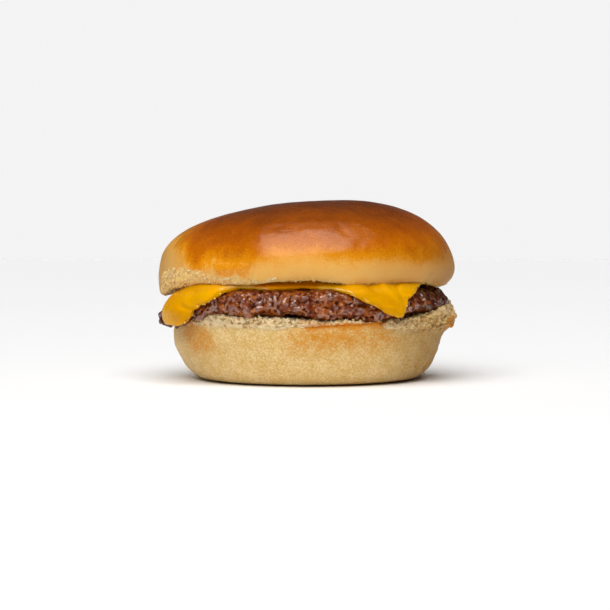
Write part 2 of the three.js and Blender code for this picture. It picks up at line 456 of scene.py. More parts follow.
# Where the bun was pulled off its neighbour: the height up to which the crumb shows, and the two
# flaps of skin beside the fold.
TEAR_TOP = [
    (188, 30), (197, 40.6), (206, 41.6), (214, 42.2), (223, 41.4), (232, 40.2), (240, 39.5),
    (251, 38.6), (262, 36),
]
FLAPS = [(-29.8, 45.1, 4.6, 5.8), (-23.2, 44.8, 3.4, 6.0)]  # x, z, half width, half height
FOLD_LINE = ([40, 47, 52, 58], [-20.2, -20.4, -19.4, -17.0])  # the fold's x at each height
CROWN_STROKES = [  # the fold's ends, dents and small creases
    ((-19.9, 38.5), (-20.4, 44), 0.6, -0.3), ((-20.4, 45), (-18.5, 52.5), 0.9, -0.2),
    ((0.7, 54.4), (5, 53.6), 1.1, -0.3), ((-1.5, 56.6), (6.5, 57.2), 1.6, 0.16),
    ((11.4, 57.5), (13.4, 55.8), 1, -0.16), ((-18, 53.3), (-14.6, 52.4), 0.9, -0.16),
    ((-12, 56.5), (-7.5, 58.5), 1, -0.12), ((17.9, 43.8), (18.5, 41.4), 0.35, 0.14),
    ((28.2, 44.2), (28.6, 41.8), 0.35, 0.14), ((44, 47.5), (45.5, 43), 0.6, 0.12),
]
LIP_REACH = 48  # radius beyond which the lower lip lies
# How far that lip hangs down towards the cheese, round the burger.
SAGGING = [
    (198, 0), (206, 1), (216, 1.4), (244, 1.4), (251, 1), (258, 0.6), (264, 0), (272, 0.1), (280, 1),
    (286, 1.6), (300, 1.8), (314, 1.8), (322, 0.9), (330, 1.2), (338, 1.9), (345, 1.2), (352, 0),
]
# The height where the crust begins to brown, round the burger and on top, and how browned it is
# at heights above that.
BROWN_FROM = [
    (0, 55), (30, 49.5), (60, 47), (90, 49.5), (120, 46.5), (150, 48.5), (180, 56), (199, 55.5),
    (207, 51.5), (213, 47), (218, 45.4), (230, 45.8), (251, 45.6), (256, 47), (275, 47.2),
    (305, 47.2), (320, 47.4), (337, 48.6), (350, 53),
]
BROWN_FROM_ON_TOP = 47.5
BROWNING = ([-10, -4, -1.5, 0, 4, 10, 20], [0.0, 0.2, 0.34, 0.42, 0.58, 0.76, 1.0])
SHADED = ([18, 28, 42, 52], [0.0, 0.26, 0.45, 0.75])  # painted shade: how much darker the crust is painted towards the right end
CROWN_CRUMB = 12.0  # seed of the torn crumb's relief


def beside_the_fold(places):
    """True around the flaps and the fold, whose edges are the finest on the crown."""
    x, y, z = places.T
    return (y < 0) & (np.abs(x + 26.5) < 9.5) & (z > 36) & (z < 49)


def flap_shape(places):
    """Above 0 inside the two rounded flaps of skin, 0 along their outline."""
    x, y, z = places.T
    x = x + 1.2 * wobble(places, 5, 14.0, 2)
    z = z + 1.2 * wobble(places, 5, 15.0, 2)
    shapes = [1 - ((x - at) / wide) ** 2 - ((z - up) / high) ** 2 for at, up, wide, high in FLAPS]
    return np.where(y < 0, np.max(shapes, 0), -1)


def lip_edge(places, bins=72):
    """The lowest height of the crown's lip in the direction of each point."""
    turn = angle_of(places)
    outer = radius_of(places) > LIP_REACH
    slot = (turn[outer] * bins / 360).astype(int) % bins
    lowest = np.full(bins, np.inf)
    np.minimum.at(lowest, slot, places[outer, 2])
    middles = (np.arange(bins) + 0.5) * 360 / bins
    known = np.isfinite(lowest)
    return np.interp(turn, middles[known], lowest[known], period=360)


def torn_patch(places):
    """1 where the crown's crumb shows: the torn patch at the left and the thin edge all round."""
    z = places[:, 2]
    ragged = 1.5 * wobble(places, 6, 11.0, 3)
    top = np.maximum(round_about(places, TEAR_TOP), lip_edge(places) - 0.1)
    return ease(z, top + ragged + 1.6, top + ragged - 1.2) * ease(flap_shape(places), 0.05, -0.05)


def torn_zone(places):
    """True over the torn patch and along the front's lower edge, modelled as finely as crumb needs."""
    turn = angle_of(places)
    patch = (places[:, 2] < 44.5) & (turn > 185) & (turn < 264)
    edge = (places[:, 2] < 40.5) & (turn > 258) & (turn < 352)
    return (radius_of(places) > LIP_REACH) & (patch | edge)


def sculpt_crown(piece, look):
    places = points(piece)
    outward = normals(piece)
    x, y, z = places.T
    side = ease(np.hypot(x, y), 40, 47)

    raised = strokes(places, CROWN_STROKES)
    raised += look.flap / MM * ease(flap_shape(places), 0.0, 0.3) * ease(z, 47.5, 43.5)
    torn = torn_patch(places) * side
    rough = 0.3 * (1 - 0.75 * ease(angle_of(places), 212, 226))
    lumps = crumble(places, CROWN_CRUMB) + 1.1 * wobble(places, 4.2, 12.5, 2)
    raised += torn * (rough * lumps - look.tear / MM)
    beyond = (np.interp(z, *FOLD_LINE) + 0.5 * wobble(places, 2.5, 16.0, 2) - x).clip(0)
    left_of_fold = (1.3 * np.minimum(beyond / 10, 1) + 0.8 * (1 - np.exp(-beyond / 2.2))) * ease(-x, 46, 32)
    raised -= left_of_fold * ease(-y, 0, 15) * between(z, 47, 55, 5)
    raised += 0.1 * wobble(places, 6, 5.0, 2)
    raised += 0.28 * wobble(places, 4.5, 8.0, 3) * ease(-y, 20, 40) * between(z, 52, 58, 4)
    raised += 0.25 * wobble(places, 8, 1.0, 2) * ease(z, 44, 39) * side
    places += outward * raised[:, None]
    sagging = round_about(places, SAGGING) * ease(z, 44, 38) * ease(np.hypot(x, y), 44, 50)
    places[:, 2] -= sagging
    edge = places[:, 2] - lip_edge(places)
    rim = between(angle_of(places), 262, 350, 6) * ease(radius_of(places), 46, 50)
    places[:, 2] -= 0.9 * np.abs(wobble(places, 1.5, 17.0, 2)) * rim * ease(edge, 1.2, 0.3)
    move_to(piece, places)


def paint_crown(piece):
    places = points(piece)
    outward = normals(piece)
    x, y, z = places.T
    turn = angle_of(places)
    radius = np.hypot(x, y)

    rod = places * (55 / radius.clip(1))[:, None]
    rod[:, 2] = 0.4 * z
    feathers = wobble(rod, 4.0, 6.0) + 0.7 * wobble(rod, 1.7, 6.5) + 0.4 * wobble(rod, 0.8, 6.8)
    feathered = between(turn, 203, 231, 6)
    level = round_about(places, BROWN_FROM)
    above = z - BROWN_FROM_ON_TOP - (level - BROWN_FROM_ON_TOP) * ease(radius, 12, 42)
    shift = (0.7 + 2.8 * feathered + 1.2 * ease(x, 38, 50)) * feathers * ease(above, 9, 2)
    above += shift + 1.3 * wobble(places, 7, 7.0, 3) * (1 - 0.6 * feathered)
    bake = np.interp(above, *BROWNING) + 0.05 * wobble(places, 16, 7.5, 3)
    shape = flap_shape(places)
    flap = ease(shape, -0.05, 0.3) * ease(z, 47, 44)
    bake = np.maximum(bake, (0.4 + 0.04 * feathers) * flap)
    arcs = between(shape, -0.02, 0.1, 0.08) * ease(z, 47, 43) * ease(wobble(places, 3, 9.0), -0.3, 0.3)

    under = ease(-outward[:, 2], 0.75, 0.95) * ease(z, 43, 40)
    inner = (radius < 50) & (z < 42)
    # Painted shade: the crust is painted darker towards the right end, and more so low down.
    shaded = np.interp(x, *SHADED) * ease(z, 56, 48) * (1 + 0.4 * ease(z, 46, 38) * ease(x, 40, 50))
    paint(
        piece,
        bake=bake + 0.09 * arcs,
        crumb=np.maximum.reduce([torn_patch(places), 0.9 * under, inner]),
        # where the crumb's pits get painted shade
        pit=0.5 - 0.8 * crumble(places, CROWN_CRUMB),
        # painted shade at the left end as well, added to that at the right
        ashen=0.55 * ease(-x, 45, 56) * ease(z, 56, 48) + shaded,
        wrinkle=ease(-y, 12, 38) * between(z, 54, 59, 3) * between(x, -14, 20, 8),
    )


def crown_finish(look):
    finish = Finish("crown_crust")
    mottle = finish.between(finish.noise(0.006, 5, 0.62), 0.25, 0.75, -0.04, 0.04)
    silk = finish.between(finish.noise(0.0006, 4, 0.7), 0.25, 0.75, -0.09, 0.09)
    bake = finish.plus(finish.painted("bake"), finish.plus(mottle, silk))
    tones = (look.lip, look.low, look.golden, look.side, look.shoulder, look.top)
    skin = finish.ramp(bake, (0, 0.2, 0.42, 0.58, 0.76, 1), tones)

    specks = finish.between(finish.cells(0.0052), 0.07, 0.04)
    rare = finish.between(finish.noise(0.014, 1), 0.55, 0.6)
    skin = finish.mix(finish.times(specks, rare), skin, tone(128, 60, 14))

    # Painted shade: the crust is multiplied darker and greyer towards both ends.
    skin = finish.mix(finish.painted("ashen"), skin, tone(194, 174, 134), "MULTIPLY")
    # The darker crumb colour is painted shade in the pits.
    pores, crumb, shown = torn_crumb(finish, look.crumb, tone(210, 164, 88), 0.15, 0.3, 0.2)
    finish.set(Base_Color=finish.mix(shown, skin, crumb), Specular_IOR_Level=0.45)
    satin = finish.between(bake, 0.05, 0.45, 0.6, 0.22)
    finish.set(Roughness=finish.between(shown, 0, 1, satin, 0.85), Specular_Tint=(1, 0.92, 0.8))

    grain = finish.bump(finish.noise(0.0009, 4, 0.65), 0.00007)
    slanted = finish.slanted((0.55, 1, 1.5), -40)
    wrinkles = finish.times(finish.noise(0.0022, 5, 0.62, slanted, 0.8), finish.painted("wrinkle"))
    grain = finish.bump(wrinkles, look.wrinkle * 4, grain)
    grain = finish.bump(finish.times(pores, shown), 0.0003, grain)
    finish.set(Normal=grain)
    return finish.soft(0.1, (1.0, 0.45, 0.2), 0.0012)


class BURGER_OT_crown(bpy.types.Operator):
    """Models the upper half of the bun, with its fold, torn patch and baked crust"""

    bl_idname = "burger.crown"
    bl_label = "Crown"

    def execute(self, context):
        look = context.scene.crown_look
        piece = rounded_copy("crown", "crown_bun", 2)
        for _ in range(2):
            split_faces(piece, lambda middle: beside_the_fold(middle) | torn_zone(middle))
        sculpt_crown(piece, look)
        paint_crown(piece)
        dress(piece, crown_finish(look), "crown")
        return {"FINISHED"}


# -------- cheese

# The front corner spreads to the right, direction by direction; then its two flanks and the left
# tongue's right side turn by some degrees at each height.
CORNER_TURNS = ([290, 305, 311.5, 318, 345, 360], [290, 305.5, 312, 325, 347, 360])
RIGHT_TURNS = ([25.5, 28.5, 31.5, 35, 37.5], [-1.5, -1, -1, 3, 5.5])
LEFT_TURNS = ([25.5, 28, 29.4, 31.2], [4.5, 4.2, 3.5, 0])
TONGUE_TURNS = ([24, 26, 29, 31, 33], [2, 3.5, 4.5, 2, 0])
CHEESE_STROKES = [  # soft folds in the tongue and in the front corner
    ((-43.5, 31.2), (-33, 34.6), 1.8, 0.6), ((-49, 28), (-46, 25.5), 2.6, 0.5),
    ((-45.5, 29), (-41, 27.6), 0.9, -0.7), ((-47.5, 34.6), (-41.5, 34.4), 1.6, -0.5),
    ((-43, 37), (-37, 36.4), 1.2, 0.3), ((13, 37), (21, 33.5), 1.2, 0.3),
    ((15, 37.5), (30, 27.5), 1.5, 0.6), ((22, 37), (32, 28.5), 1.1, -0.6),
    ((27, 37), (33.5, 29), 1.2, 0.6), ((32, 37), (35, 31), 1, -0.5),
    ((33.5, 36), (38.5, 34), 1, 0.5),
]
OILY_GLINTS = [  # where the edge is thin and oily, painted pale as a line that is partly a painted highlight
    ((-31, 35.4), (-27, 36.3), 0.45, 0.45), ((-27, 36.3), (-21, 36.2), 0.4, 0.45),
    ((-21, 36.2), (-14, 35.6), 0.3, 0.4), ((4, 35.9), (10.5, 35.6), 0.22, 0.4),
    ((10.5, 35.6), (15.5, 34.6), 0.22, 0.7), ((15.5, 34.6), (17.2, 32.6), 0.2, 0.6),
    ((20.4, 31.9), (21.6, 31.1), 0.2, 0.6), ((24, 29.9), (24.6, 29.4), 0.2, 0.5),
]
CHEESE_SHADE = [  # painted shade: where the cheese is painted a deeper colour
    ((-50, 33), (-47, 26), 4.6, 1), ((-42, 26.5), (-38, 29), 2.5, 0.4),
    ((-48, 36), (-44, 38), 2.5, 0.5), ((-40, 36), (-34, 36.5), 2.5, 0.5),
    ((20, 37), (30, 30), 6, 0.6),
]
LIP_SHADOW_STROKES = [((-18, 36.8), (3, 36.8), 1.5, 1)]  # painted shadow on the cheese under the crown's lip
HANGING_RADIUS = 46  # beyond this radius the slice hangs down and is modelled finely


def turned_about(vectors, angles):
    """Vectors turned about the upright axis, each by its own angle in radians."""
    x, y, z = vectors.T
    cos, sin = np.cos(angles), np.sin(angles)
    return np.stack([x * cos - y * sin, x * sin + y * cos, z], 1)


def sculpt_cheese(piece, look):
    places = points(piece)
    outward = normals(piece)
    x, y, z = places.T

    turn, radius = angle_of(places), np.hypot(x, y)
    spread = np.radians(np.interp(turn, *CORNER_TURNS)) - np.radians(turn)
    spread *= ease(radius, 25, 40) * (turn > 290)
    outward = turned_about(outward, spread)
    places = turned_about(places, spread)
    moved, z = angle_of(places), places[:, 2]
    turned = np.interp(z, *RIGHT_TURNS) * between(moved, 314, 345, 9)
    turned += np.interp(z, *LEFT_TURNS) * between(moved, 284, 302, 7)
    turned += 1.5 * wobble(places, 1.3, 28.0, 2) * between(moved, 316, 345, 4)
    turned += np.interp(z, *TONGUE_TURNS) * between(turn, 214, 220, 10)
    places = turned_about(places, np.radians(turned) * ease(radius, 25, 40))
    front = between(turn, 236, 284, 10)
    places[:, :2] *= (1 + 1.5 * front * ease(radius, 43, 48) / radius.clip(1))[:, None]
    places[:, 2] -= 1.3 * front * ease(radius, 44, 48.2)
    places[:, 2] -= 0.6 * between(angle_of(places), 305, 314, 5) * ease(places[:, 2], 30, 27)
    x, y, z = places.T

    slanted = places @ np.array([[1.0, 0, 0], [0, 1, 0], [0.9, 0, 1]]) * np.array([0.25, 0.25, 1])
    folds = wobble(slanted, 2.2, 21.0, 2) * ease(x, 8, 16) * ease(-y, 20, 35) * ease(z, 37.5, 35)
    raised = look.fold / MM * folds + strokes(places, CHEESE_STROKES)
    raised += 0.2 * wobble(places, 11, 24.0) + 0.08 * wobble(places, 3.5, 26.0)
    places += outward * raised[:, None]

    free_edge = ease(-outward[:, 2], 0.1, 0.6) * ease(np.hypot(x, y), 46, 49)
    uneven = wobble(places, 2.6, 23.0, 2) + 0.7 * np.abs(wobble(places, 1.2, 27.0))
    places[:, 2] += look.ragged / MM * uneven * free_edge
    move_to(piece, places)


def paint_cheese(piece):
    places = points(piece)
    outward = normals(piece)
    rim = ease(-outward[:, 2], 0.0, 0.6) * ease(radius_of(places), 45, 48)
    oily = 0.8 * rim * ease(wobble(places, 9, 25.0), 0.1, 0.4) * (places[:, 1] > 0)
    oily = np.maximum(strokes(places, OILY_GLINTS), oily)
    # The deep colour and the colour under the crown's lip are painted shade; the pale edge is partly painted
    # highlight.
    paint(piece, oily=oily, deep=strokes(places, CHEESE_SHADE), sheltered=strokes(places, LIP_SHADOW_STROKES))


def cheese_finish(look):
    finish = Finish("melted_cheese")
    patches = finish.between(finish.noise(0.012, 3), 0.35, 0.65)
    deeper = tuple(0.88 * value for value in look.body)
    body = finish.mix(patches, deeper, look.body)
    # Painted shade: a deeper colour on the tongue's lower left and on the front corner.
    body = finish.mix(finish.painted("deep"), body, tone(208, 142, 0))
    # Painted shadow: a darker orange where the crown's lip overhangs.
    body = finish.mix(finish.painted("sheltered"), body, tone(214, 128, 0))
    # The thin oily edge with its painted highlights, broken into short lengths.
    broken = finish.between(finish.noise(0.0012, 2), 0.3, 0.5, 0.3, 1)
    oily = finish.times(finish.painted("oily"), broken)
    finish.set(Base_Color=finish.mix(oily, body, look.edge), Specular_IOR_Level=0.08)
    finish.set(Roughness=finish.between(finish.noise(0.004, 3), 0.3, 0.7, 0.25, 0.38))
    finish.set(Specular_Tint=(1, 0.82, 0.15))
    skin = finish.bump(finish.noise(0.0035, 3), 0.00015)
    finish.set(Normal=finish.bump(finish.noise(0.0007, 3), 0.00003, skin))
    return finish.soft(0.2, (1.0, 0.6, 0.02), 0.0012)


class BURGER_OT_cheese(bpy.types.Operator):
    """Models the melted slice, with folds in its hanging corners and an uneven edge"""

    bl_idname = "burger.cheese"
    bl_label = "Cheese"

    def execute(self, context):
        look = context.scene.cheese_look
        piece = rounded_copy("cheese_slice", "melted_cheese", 2)
        split_faces(piece, lambda middle: radius_of(middle) > HANGING_RADIUS)
        sculpt_cheese(piece, look)
        paint_cheese(piece)
        dress(piece, cheese_finish(look), "cheese_slice")
        return {"FINISHED"}


# -------- scattered small things


def spots_on(piece, count, seed, wanted):
    """Random spots spread evenly over the wanted part of a piece: places and outward directions."""
    mesh = piece.data
    mesh.calc_loop_triangles()
    corners = points(piece)[rows(mesh.loop_triangles, "vertices", 3, int)]
    across = np.cross(corners[:, 1] - corners[:, 0], corners[:, 2] - corners[:, 0])
    area = np.linalg.norm(across, axis=1)
    facing = across / area[:, None].clip(1e-9)
    area *= wanted(corners.mean(1), facing) > 0.001
    draw = np.random.default_rng(seed)
    found = []
    while sum(len(batch[0]) for batch in found) < count:
        picks = draw.choice(len(area), 8 * count, p=area / area.sum())
        first, second = np.sort(draw.random((2, len(picks))), 0)
        weights = np.stack([first, second - first, 1 - second], 1)
        places = (corners[picks] * weights[:, :, None]).sum(1)
        kept = draw.random(len(picks)) < wanted(places, facing[picks])
        found.append((places[kept], facing[picks][kept]))
    places, facing = (np.concatenate(parts)[:count] for parts in zip(*found))
    return places, facing, draw


def blobs(name, centres, facing, halves, draw, roughness=0.0, subdivisions=2):
    """One mesh of many rounded lumps, each flattened and turned to face outward."""
    deselect_all()
    bpy.ops.mesh.primitive_ico_sphere_add(subdivisions=subdivisions, radius=1)
    lump = bpy.context.object
    ball = np.array([v.co[:] for v in lump.data.vertices])
    faces = np.array([f.vertices[:] for f in lump.data.polygons])
    bpy.data.objects.remove(lump)

    spin = draw.random(len(centres)) * math.tau
    upright = np.tile([0.0, 0.0, 1.0], (len(centres), 1))
    upright[np.abs(facing[:, 2]) > 0.9] = (1.0, 0.0, 0.0)
    level = np.cross(upright, facing)
    level /= np.linalg.norm(level, axis=1)[:, None]
    rising = np.cross(facing, level)
    long = np.cos(spin)[:, None] * level + np.sin(spin)[:, None] * rising
    wide = np.cross(facing, long)
    axes = np.stack([long, wide, facing], 1) * halves[:, :, None]
    shaken = ball[None] * (1 + roughness * draw.standard_normal((len(centres), len(ball), 1)))
    corners = np.einsum("bvk,bkc->bvc", shaken, axes) + centres[:, None]
    indices = faces[None] + (np.arange(len(centres)) * len(ball))[:, None, None]

    mesh = bpy.data.meshes.new(name)
    mesh.from_pydata((corners.reshape(-1, 3) * MM).tolist(), [], indices.reshape(-1, 3).tolist())
    piece = bpy.data.objects.new(name, mesh)
    bpy.context.scene.collection.objects.link(piece)
    return piece


# -------- patty

# How far the patty's lower edge hangs over the heel, round the burger.
DROOPING = [(170, 0.3), (185, 0.9), (208, 1.1), (218, 0), (264, 0), (275, 1.8), (303, 1.8), (312, 0.3)]
VOXEL, RELIEF_SIZE = 0.37, 1.3  # of the skin of fused mince, in millimetres
SIDE_RADIUS = 45  # beyond this radius the patty is covered with lumps of mince
HIDDEN_RADIUS, KEPT_SHARE = 46.5, 0.1  # within this radius only a share of the faces is kept


def swell_patty(piece):
    """Rounds the bare patty towards the mince that will cover it, and lets its lower edge hang."""
    places = points(piece)
    outward = normals(piece)
    x, y, z = places.T
    outer = ease(np.hypot(x, y), 42, 46)
    drooping = round_about(places, DROOPING) * ease(z, 32, 27)
    meeting = between(angle_of(places), 234, 300, 8) * ease(z, 31, 35)
    corner = 4 * np.abs(outward[:, 2]) * np.hypot(*outward[:, :2].T)
    places += outward * (outer * (0.55 * corner - 0.6 + 0.5 * meeting))[:, None]
    places[:, 2] += outer * (0.7 * meeting - drooping)
    rounding = 0.06 * ease(places[:, 2], 29, 36) * ease(places[:, 0], 34, 44)
    places[:, :2] *= (1 - outer * rounding)[:, None]
    move_to(piece, places)


def patty_lumps(core, look):
    """Lumps of mince pressed into the patty's side: broad swellings and the grains on them."""

    def side(places, facing):
        return radius_of(places) > SIDE_RADIUS

    sets = []
    kinds = [(look.coarse, 1.6, 0.75, 31), (look.fine, look.lump / MM, 0.1, 33)]
    for count, half, sunk, seed in kinds:
        centres, facing, draw = spots_on(core, count, seed, side)
        half = (half * np.exp(0.35 * draw.standard_normal(count))).clip(0.36, 2.3)
        stretch = 1 + 1.2 * draw.random(count)
        halves = np.stack([half * stretch, half, half * (0.6 + 0.5 * draw.random(count))], 1)
        depth = halves[:, 2] * (sunk + 0.5 * draw.random(count))
        sets.append(blobs("mince", centres - facing * depth[:, None], facing, halves, draw, 0.1))
    return sets


def hidden(middle):
    return radius_of(middle) < HIDDEN_RADIUS


def fuse(piece, relief):
    """Melts the patty and its lumps into one skin with a fine relief of its own."""
    finish_with(piece, "REMESH", mode="VOXEL", voxel_size=VOXEL * MM)
    finish_with(piece, "SMOOTH", factor=0.5, iterations=1)
    places = points(piece)
    creases = np.abs(wobble(places, 1.7 * RELIEF_SIZE, 36.0))
    folds = wobble(places, RELIEF_SIZE, 32.0, 2) - 1.6 * creases + 0.3
    places += normals(piece) * (relief * folds)[:, None]
    move_to(piece, np.clip(places, CAD_LOW, CAD_HIGH))


def patty_finish(look):
    finish = Finish("seared_beef")
    wisps = finish.between(finish.noise(0.0014, 5, 0.7), 0.25, 0.75, -0.3, 0.3)
    depth = finish.plus(finish.painted("hollow"), wisps)
    warm = finish.mix(finish.between(finish.noise(0.004, 4, 0.65), 0.45, 0.6), look.seared, look.fried)
    grains = finish.between(finish.noise(0.0019, 3, 0.6), 0.58, 0.68)
    warm = finish.mix(grains, warm, look.fat)
    # Painted shade: the mince turns dark where it lies in hollows.
    beef = finish.mix(finish.between(depth, 0.52, 1.0), warm, look.crack_shade)
    patches = finish.between(finish.noise(0.0024, 4, 0.6), 0.38, 0.56, 0.2, 1)
    char = finish.times(finish.painted("char"), patches)
    finish.set(Base_Color=finish.mix(char, beef, tone(52, 18, 6)), Specular_IOR_Level=0.12)
    finish.set(Roughness=finish.between(finish.noise(0.0018, 3), 0.35, 0.65, 0.32, 0.6))
    relief = finish.bump(finish.noise(0.0016, 5, 0.66), 0.0009)
    relief = finish.bump(finish.noise(0.0006, 3, 0.6), 0.0002, relief)
    wet = finish.times(finish.between(depth, 0.4, 0.75, 1, 0.05), finish.between(char, 0, 1, 1, 0.8))
    wet = finish.times(wet, finish.between(finish.noise(0.0032, 4, 0.6), 0.4, 0.56, 0.1, 1))
    finish.set(Normal=relief, Coat_Weight=wet, Coat_Roughness=0.08, Coat_IOR=2.0)
    finish.set(Specular_Tint=(1, 0.6, 0.4))
    return finish.soft(0.1, (1.0, 0.3, 0.15), 0.0008)


class BURGER_OT_patty(bpy.types.Operator):
    """Models the beef patty: lumps of mince grown together, with painted shade darkening the cracks between
    them
    """

    bl_idname = "burger.patty"
    bl_label = "Patty"

    def execute(self, context):
        look = context.scene.patty_look
        piece = rounded_copy("patty", "beef_patty", 1)
        swell_patty(piece)
        lumps = patty_lumps(piece, look)
        only(piece)
        for lump in lumps:
            lump.select_set(True)
        bpy.ops.object.join()
        fuse(piece, look.grain / MM)
        edit_faces(piece, hidden, bpy.ops.mesh.decimate, ratio=KEPT_SHARE)
        x = points(piece)[:, 0]
        char = np.maximum(0.9 * ease(x, 34, 46), 0.7 * ease(-x, 44, 49))
        # hollow tells the finish where to paint shade in the cracks
        paint(piece, hollow=hollows(piece, 8, 0.22), char=char)
        dress(piece, patty_finish(look), "patty")
        return {"FINISHED"}


# -------- heel

# The height where the crust ends and torn crumb begins, round the burger; the flap at the right is
# torn down to 20 mm and keeps a lip of crust at its tip.
CRUST_TOP = [
    (0, 21), (20, 21.5), (30, 22.7), (170, 22.7), (190, 25.5), (211, 25.5), (217, 23), (250, 22.2),
    (271, 21.8), (287, 22.9), (299, 23.4), (303, 21), (340, 20),
]
CRUST_TIP = (54.3, 21.3)
# How far the rim of crumb rises above the plain cut, round the burger, up to the beef's underside.
RIM_RISES = [
    (30, 0.8), (176, 0.8), (186, 2.2), (196, 2.8), (205, 2.8), (213, 2.6), (222, 2.6), (231, 2.4),
    (240, 1.2), (258, 1.1), (268, 0.5), (276, 0), (302, 0), (345, 0),
]
BROWNED = [  # browned mottles, and a pale one
    ((-43, 21), (-40, 16), 4.4, 1.3), ((-37.5, 19), (-35, 14.5), 2.4, 0.4),
    ((-4, 18), (27, 17.5), 4.6, 0.95), ((12, 22.1), (28, 22.8), 1.2, 1.1),
    ((-35, 22), (-26, 21.5), 1.6, -0.8),
]
TOASTED = [  # the crust's scorched edge
    ((-2, 24), (7, 23.6), 1.1, 0.4), ((0, 21.6), (14, 22.8), 0.9, 1),
    ((14, 22.6), (27.5, 23.1), 0.8, 1),
]
HEEL_CRUMB = 42.0  # seed of the torn crumb's relief
RIM_RADIUS = 47.5  # beyond this radius the torn edge can be seen


def crust_top(places):
    return round_about(places, CRUST_TOP) + 0.5 * wobble(places, 5, 41.0, 2)


def crumb_zone(places):
    """True along the torn edge, which is modelled as finely as its crumb needs."""
    return (radius_of(places) > RIM_RADIUS) & (places[:, 2] > crust_top(places) - 0.7)


def sculpt_heel(piece, look):
    places = points(piece)
    outward = normals(piece)
    x, y, z = places.T
    rises = round_about(places, RIM_RISES) * ease(z, 15, 22) * ease(np.hypot(x, y), 43, 48)
    places[:, 2] += rises
    outside = ease(np.hypot(x, y), 43, 46)
    crumb = outside * ease(z, crust_top(places) - 0.2, crust_top(places) + 0.4)
    wall = outside * (1 - crumb) * ease(z, 0.5, 2.5)
    slanted = places @ np.array([[1, 0, 0], [0, 1, 0], [-0.7, 0, 0.55]])
    creases = -np.abs(wobble(slanted, 2.6, 48.0, 2)) * ease(x, 22, 36)
    raised = wall * (0.25 * wobble(places, 9, 45.0, 2) + look.wrinkle / MM * 3.6 * creases)
    fibres = places @ np.array([[1, 0, -0.25], [0, 1, 0], [-0.8, 0, 0.3]])
    torn = crumb * ease(x, 24, 32)
    raised += look.fibre / MM * 2.6 * torn * (0.35 - np.abs(wobble(fibres, 2.6, 46.0, 3)))
    raised -= 3.0 * crumb * ease(x, 41, 50) * (0.5 - np.abs(wobble(places, 4.2, 50.0, 2)))
    raised += crumb * ease(55.5 - x, -2, 2) * (0.8 - 0.4 * ease(x, 24, 32)) * crumble(places, HEEL_CRUMB)
    places += outward * raised[:, None]
    tumbled = np.stack([wobble(places, 1.5, seed) for seed in (43.0, 44.0, 45.5)], 1)
    places += (0.55 * crumb * (1 - ease(x, 30, 44)))[:, None] * tumbled
    move_to(piece, np.clip(places, CAD_LOW, CAD_HIGH))


def paint_heel(piece):
    places = points(piece)
    x, y, z = places.T
    tip = np.hypot((x - CRUST_TIP[0]) / 2.8, (z - CRUST_TIP[1]) / 3.2) + 0.5 * wobble(places, 3, 51.0)
    edge = crust_top(places)
    soft = 0.3 + 1.9 * ease(x, 0, -14) + 2.4 * ease(x, 26, 40)
    crumb = ease(z, edge - soft, edge + 0.3) * (1 - ease(tip, 1.3, 0.8))
    mottle = 0.75 * ease(wobble(places, 13, 47.0, 2), 0.0, 0.7) * ease(y, -25, 0)
    edging = 0.5 * ease(edge - z, 2.0, 0.0) * ease(y, -30, -10) * ease(wobble(places, 16, 49.0), -0.1, 0.3)
    spots = strokes(places, BROWNED) + mottle + edging
    paint(
        piece,
        crumb=np.maximum(crumb, np.hypot(x, y) < 44) * (z > 2),
        # where the crumb's pits get painted shade
        pit=0.5 - 0.8 * crumble(places, HEEL_CRUMB),
        browned=np.maximum(spots, 0.75 * ease(tip, 1.5, 0.7)),
        toasted=strokes(places, TOASTED) + 0.25 * ease(tip, 1.4, 0.8),
        # ashen tint: the crust and the torn crumb turn greyer and darker towards the right
        ashen=0.8 * ease(x, 24, 46) * (1 - 0.5 * ease(x, 44, 50) * ease(z, 23, 27)),
    )


def heel_finish(look):
    finish = Finish("heel_crust")
    blisters = finish.between(finish.cells(0.0019), 0.35, 0.1, 0, 0.1)
    patches = finish.between(finish.noise(0.005, 4, 0.6), 0.3, 0.7, -0.09, 0.09)
    speckle = finish.plus(finish.plus(finish.noise(0.0007, 2, 0.5), patches), blisters)
    crust = finish.mix(finish.between(speckle, 0.3, 0.74), look.crust, look.blister)
    patches = finish.between(finish.noise(0.003, 4, 0.65), 0.3, 0.7, 0.6, 1.05)
    amount = finish.times(finish.painted("browned"), patches)
    warm = finish.mix(finish.between(speckle, 0.4, 0.75), look.browned, look.crust)
    crust = finish.mix(amount, crust, warm)
    # Ashen tint: the crust turns greyer and darker towards the right.
    crust = finish.mix(finish.painted("ashen"), crust, tone(222, 203, 174), "MULTIPLY")
    pores, crumb, shown = torn_crumb(finish, look.crumb, look.pit, 0.25, 0.4, 0.35)
    # Torn fibres at the right: a tan with painted shade in the grooves and painted highlights on the ridges
    # that the fibre bump raises.
    fibres = finish.noise(0.0016, 5, 0.65, finish.slanted((0.5, 1, 1.5), 40))
    tones = (tone(150, 104, 40), tone(232, 196, 124), tone(255, 250, 228))
    tan_lit_and_shaded = finish.ramp(fibres, (0.38, 0.5, 0.6), tones)
    tan_lit_and_shaded = finish.mix(1.0, tan_lit_and_shaded, tone(238, 216, 170), "MULTIPLY")
    crumb = finish.mix(finish.painted("ashen"), crumb, tan_lit_and_shaded)
    bread = finish.mix(shown, crust, crumb)
    bread = finish.mix(finish.painted("toasted"), bread, tone(206, 122, 22))
    finish.set(Base_Color=bread, Specular_IOR_Level=0.22)
    finish.set(Roughness=finish.between(shown, 0, 1, 0.5, 0.85), Specular_Tint=(1, 0.85, 0.65))
    relief = finish.bump(speckle, 0.0005)
    relief = finish.bump(finish.times(pores, shown), 0.0007, relief)
    relief = finish.bump(finish.times(fibres, finish.painted("ashen")), 0.0016, relief)
    finish.set(Normal=relief)
    return finish.soft(0.12, (1.0, 0.6, 0.3), 0.0012)


